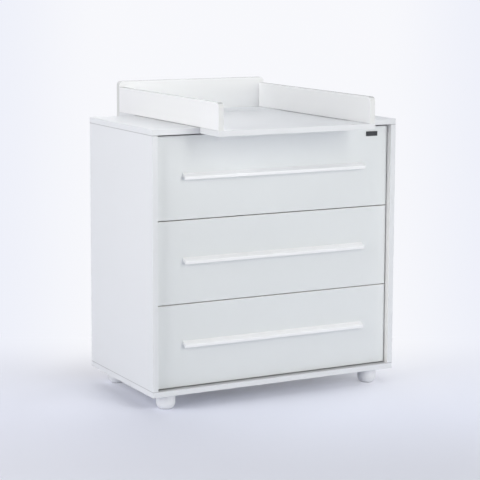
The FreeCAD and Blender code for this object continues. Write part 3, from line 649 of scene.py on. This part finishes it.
# Cam locks: a die-cast disc with a cross recess in a shallow dish, in mm. The waist's places are
# a share of the radius and a height. Levels say which way the bolt points from that height.
camLock = {
    "across": 15.0, "sides": 32,
    "faceRings": (0.08, 0.2, 0.32, 0.44, 0.54, 0.62, 0.72, 0.8, 0.86, 0.96, 1.0),
    "dish": 0.5, "dishReach": 0.86, "dishFade": 0.06, "rimFrom": 0.97, "rimRound": 0.25,
    "armWide": 1.5, "armWall": 0.7, "armReach": 0.6, "armFade": 0.08, "recessDeep": 2.2,
    "waist": ((1, -2.5), (0.82, -3.2), (0.82, -8.6), (1, -9.3), (1, -12.7), (0.95, -13)),
    "faceAt": 413, "depths": (-174.5, 147.5), "levels": {100: -1, 814: 1},
}
# Its bolt: a collared head, a thin neck and a shank, by share of the radius and height
camBolt = {
    "across": 6.0, "sides": 16, "axisAt": 422, "away": 45,
    "profile": ((0.8, 0), (1, -0.5), (1, -10.5), (0.92, -11), (0.62, -11.6), (0.62, -32.5),
                (0.95, -33.3), (0.95, -36.9), (0.6, -37.5)),
}


# Radius by place: shares of the rim over the face, then the waist's. Height by place: less the
# dish, less the cross where a point is near an arm and not far out, less the rim's rounding.
def camShape(form):
    sides = form["sides"]
    angle = ringAngles(sides)
    rim = form["across"] / 2
    share = np.array(form["faceRings"])[:, None]
    across = share * rim * np.ones(sides)
    nearArm = np.clip((form["armWide"] - armDistance(across, angle)) / form["armWall"], 0, 1)
    cross = nearArm * np.clip((form["armReach"] - share) / form["armFade"], 0, 1)
    dish = form["dish"] * np.clip((form["dishReach"] - share) / form["dishFade"], 0, 1)
    rounding = np.where(share > form["rimFrom"], form["rimRound"], 0)
    face = -dish - cross * form["recessDeep"] - rounding
    radius = np.vstack([across, ringRows([part * rim for part, _ in form["waist"]], sides)])
    height = np.vstack([face, ringRows([level for _, level in form["waist"]], sides)])
    return turnedGrid(radius * mm, height * mm)


# radius and height by place, as the profile says, the same all round
def camBoltShape(form):
    shares, heights = np.array(form["profile"]).T
    radii = shares * form["across"] / 2
    return turnedGrid(
        ringRows(radii, form["sides"]) * mm, ringRows(heights, form["sides"]) * mm)


camPlaces = [(sign, y, z, way) for sign in sideSigns for y in camLock["depths"]
             for z, way in camLock["levels"].items()]
camPoints, camFaces = placedCopies(
    camShape(camLock),
    np.array([(sign * camLock["faceAt"], y, z) for sign, y, z, way in camPlaces]) * mm,
    [(-sign, 0, 0) for sign, y, z, way in camPlaces])
boltPoints, boltFaces = placedCopies(
    camBoltShape(camBolt),
    np.array([(sign * camBolt["axisAt"], y, z + way * camBolt["away"])
              for sign, y, z, way in camPlaces]) * mm,
    [(0, 0, way) for sign, y, z, way in camPlaces])
newPiece("cam_locks_and_bolts", np.vstack([camPoints, boltPoints]),
         camFaces + [[corner + len(camPoints) for corner in face] for face in boltFaces],
         zincSteel, "carcass", ["cam_fittings"])
print("cam locks")


# Balls and their cages, in mm: four rows in each runner, held in thin strips. A row is inward
# from the side panel, above or below the runner's middle, and starts at a depth.
ballRows = {
    "ball": 4.0, "sides": 12, "rings": 7, "poleGap": 0.22, "smoothAngle": 80,
    "panelAt": 413, "count": 9, "pitch": 10.5, "lead": 6, "cageThick": 0.5, "cageWide": 3.6,
    "outer": {"inward": 3.8, "above": 19.1, "from": 95},
    "inner": {"inward": 6.8, "above": 13.5, "from": -195},
}


# a ball: radius by place is the sine of the turn from pole to pole, and height is its cosine
def ballShape(form):
    half = form["ball"] / 2
    turn = np.linspace(form["poleGap"], math.pi - form["poleGap"], form["rings"])
    radii, heights = np.sin(turn) * half, np.cos(turn) * half
    shape = turnedGrid(
        ringRows(radii, form["sides"]) * mm, ringRows(heights, form["sides"]) * mm)
    shape[0][-2:, 2] = np.array([1, -1]) * half * mm  # the poles
    return shape


# a cage: the eight corners of a flat bar, half its width and thickness to each side of its row
def cageShape(form):
    long = form["count"] * form["pitch"] + form["lead"]
    corners = [(x, y, z) for y in (0, 1) for x, z in ((-1, -1), (1, -1), (1, 1), (-1, 1))]
    bar = [(0, 1, 2, 3), (7, 6, 5, 4), (1, 0, 4, 5), (2, 1, 5, 6), (3, 2, 6, 7), (0, 3, 7, 4)]
    return np.array(corners, float) * (form["cageWide"] / 2, long, form["cageThick"] / 2), bar


def ballRunner(number, form):
    body = "runner_middle_%d" % number
    rows = [(sign * (form["panelAt"] - form[row]["inward"]), form[row]["from"],
             runnerLevels[number] + side * form[row]["above"])
            for row in ("outer", "inner") for sign in sideSigns for side in (-1, 1)]
    steps = form["lead"] + np.arange(form["count"]) * form["pitch"]
    places = [(x, y + step, z) for x, y, z in rows for step in steps]
    points, faces = placedCopies(ballShape(form), np.array(places) * mm, [(0, 1, 0)] * len(places))
    newPiece("runner_balls_%d" % number, points, faces, zincSteel, body,
             smoothAngle=form["smoothAngle"])
    corners, bar = cageShape(form)
    cagePoints = np.vstack([corners + np.array(row) for row in rows]) * mm
    cageFaces = [[corner + index * len(corners) for corner in face]
                 for index in range(len(rows)) for face in bar]
    newPiece("runner_cages_%d" % number, cagePoints, cageFaces, steelStrip, body)


for number in drawers:
    ballRunner(number, ballRows)
print("balls and cages")


# 1 for what the camera sees, straight or in metal, gloss and glass
def seenRay(graph):
    rays = [graph.add("ShaderNodeLightPath", output=name)
            for name in ("Is Camera Ray", "Is Glossy Ray", "Is Transmission Ray")]
    return graph.maths("MINIMUM", rays[0] + rays[1] + rays[2], 1.0)


# Floor and background: a pale floor that eases into a near white backdrop behind the dresser and
# far away all round. The floor is darker in front, as painted shade, and the backdrop is a little
# greyer to both sides and in front, also painted shade.
floor = {
    "half": 100.0, "near": (0.748, 0.762, 0.84), "around": (0.85, 0.872, 0.98),
    "nearFrom": -1.05, "nearTo": -0.3, "backdropFrom": -0.6, "backdropTo": 0.65,
    "shadowAt": (-0.1, -0.05, 0), "shadowFrom": 0.3, "shadowTo": 0.72, "shadowFill": 0.45,
    "farFrom": 1.5, "farTo": 3.0, "lookAlong": (0.472, 0.8816, 0), "across": (0.8816, -0.472, 0),
    "backdrop": (0.935, 0.94, 0.975), "backdropShadedSides": (0.858, 0.875, 0.952),
    "lookFrom": 5.35, "sidesFrom": 0.08, "sidesTo": 0.155, "frontFrom": -1.1, "frontTo": -3.2,
    "roughness": 0.55, "specksPerMetre": 40, "speckRoughness": 0.1, "specular": 0.2,
}


def paleFloor(finish):
    half = finish["half"]
    mesh = bpy.data.meshes.new("floor")
    corners = [(-half, -half, 0), (half, -half, 0), (half, half, 0), (-half, half, 0)]
    mesh.from_pydata(corners, [], [(0, 1, 2, 3)])
    plane = bpy.data.objects.new("floor", mesh)
    bpy.context.scene.collection.objects.link(plane)
    material, graph = newMaterial("pale_floor")
    point = pointOn(graph)
    depth, aside = [graph.add("ShaderNodeVectorMath", {"operation": "DOT_PRODUCT"},
                              {0: point, 1: finish[name]}, "Value")
                    for name in ("lookAlong", "across")]
    # the real shading stays round the dresser, so that its shadow isn't washed out
    apart = distanceFrom(graph, point, finish["shadowAt"])
    fill = finish["shadowFill"]
    lit = fill + ease(graph, apart, finish["shadowFrom"], finish["shadowTo"]) * (1 - fill)
    behind = ease(graph, depth, finish["backdropFrom"], finish["backdropTo"]) * lit
    far = ease(graph, distanceFrom(graph, point), finish["farFrom"], finish["farTo"])
    # the floor's colour, darker in front of the dresser as painted shade
    paperAndShade = tint(graph, ease(graph, depth, finish["nearFrom"], finish["nearTo"]),
                 finish["near"], finish["around"])
    speck = noiseOn(graph, point, finish["specksPerMetre"], detail=3)
    shader = graph.add("ShaderNodeBsdfPrincipled", {}, {
        "Base Color": paperAndShade, "Specular IOR Level": finish["specular"],
        "Roughness": finish["roughness"] + speck * finish["speckRoughness"]})
    slant = graph.maths("ABSOLUTE", aside) / (depth + finish["lookFrom"])
    # the backdrop greyer to the sides and in front: painted shade
    sides = graph.maths(
        "MAXIMUM", ease(graph, slant, finish["sidesFrom"], finish["sidesTo"]),
        ease(graph, depth, finish["frontFrom"], finish["frontTo"]))
    glow = graph.add("ShaderNodeEmission", {}, {
        "Color": tint(graph, sides, finish["backdrop"], finish["backdropShadedSides"]), "Strength": 1.0})
    mixed = graph.add("ShaderNodeMixShader", {}, {
        0: graph.maths("MAXIMUM", behind, far) * seenRay(graph), 1: shader, 2: glow})
    graph.add("ShaderNodeOutputMaterial", {}, {"Surface": mixed})
    mesh.materials.append(material)


paleFloor(floor)

# Sky: a faint even light, and the colour that shows above the floor's far edge
sky = {"light": (0.93, 0.96, 1.0), "strength": 0.06, "backdrop": (0.92, 0.925, 0.968)}


def softSky(finish):
    world = bpy.data.worlds.new("studio")
    bpy.context.scene.world = world
    world.use_nodes = True
    world.node_tree.nodes.clear()
    graph = Wire(world.node_tree)
    light = graph.add("ShaderNodeBackground", {}, {
        "Color": finish["light"], "Strength": finish["strength"]})
    seen = graph.add("ShaderNodeBackground", {}, {"Color": finish["backdrop"], "Strength": 1.0})
    mixed = graph.add("ShaderNodeMixShader", {}, {0: seenRay(graph), 1: light, 2: seen})
    graph.add("ShaderNodeOutputWorld", {}, {"Surface": mixed})


softSky(sky)

# Lamps: place, size, power in watts, and colour; all aim at the dresser's middle
aim = Vector((0, 0, 0.55))
lamps = {
    "lampLeft": {"at": (-3.6, -0.7, 1.9), "size": 2.6, "power": 98, "colour": (1.0, 0.99, 0.98)},
    "lampFront": {"at": (1.6, -4.4, 1.6), "size": 2.6, "power": 86, "colour": (1.0, 0.995, 0.955)},
    "lampHigh": {"at": (0.6, -3.6, 2.9), "size": 0.8, "power": 19, "colour": (1.0, 0.995, 0.955)},
    "lampTop": {"at": (0.7, -0.3, 3.6), "size": 3.2, "power": 37, "colour": (0.90, 0.935, 1.0)},
    "lampRight": {"at": (3.9, 1.1, 1.7), "size": 2.0, "power": 34, "colour": (1.0, 1.0, 1.0)},
    "lampBack": {"at": (0.8, 3.8, 3.0), "size": 2.6, "power": 28, "colour": (1.0, 1.0, 1.0)},
}
for name, lamp in lamps.items():
    light = bpy.data.lights.new(name, "AREA")
    light.size = lamp["size"]
    light.energy = lamp["power"]
    light.color = lamp["colour"]
    holder = bpy.data.objects.new(name, light)
    holder.location = lamp["at"]
    holder.rotation_mode = "QUATERNION"
    holder.rotation_quaternion = (aim - holder.location).to_track_quat("-Z", "Y")
    holder.visible_camera = False
    bpy.context.scene.collection.objects.link(holder)

# Camera: the photograph's place and direction, in metres
camera = {
    "place": (-2.52661, -4.71242, 1.34647), "lens": 125.16, "sensor": 36.0, "shift": -0.0833,
    "right": (0.88187758, -0.47146311, 0.00380272), "down": (-0.06196873, -0.12390128, -0.99035769),
}
right = Vector(camera["right"]).normalized()
up = -Vector(camera["down"]).normalized()
lens = bpy.data.cameras.new("camera")
lens.lens = camera["lens"]
lens.sensor_width = camera["sensor"]
lens.shift_y = camera["shift"]
viewer = bpy.data.objects.new("camera", lens)
turn = Matrix((right, up, right.cross(up))).transposed().to_4x4()
viewer.matrix_world = Matrix.Translation(camera["place"]) @ turn
bpy.context.scene.collection.objects.link(viewer)
bpy.context.scene.camera = viewer
bpy.context.scene.view_settings.view_transform = "Standard"
print("stage, lamps and camera")
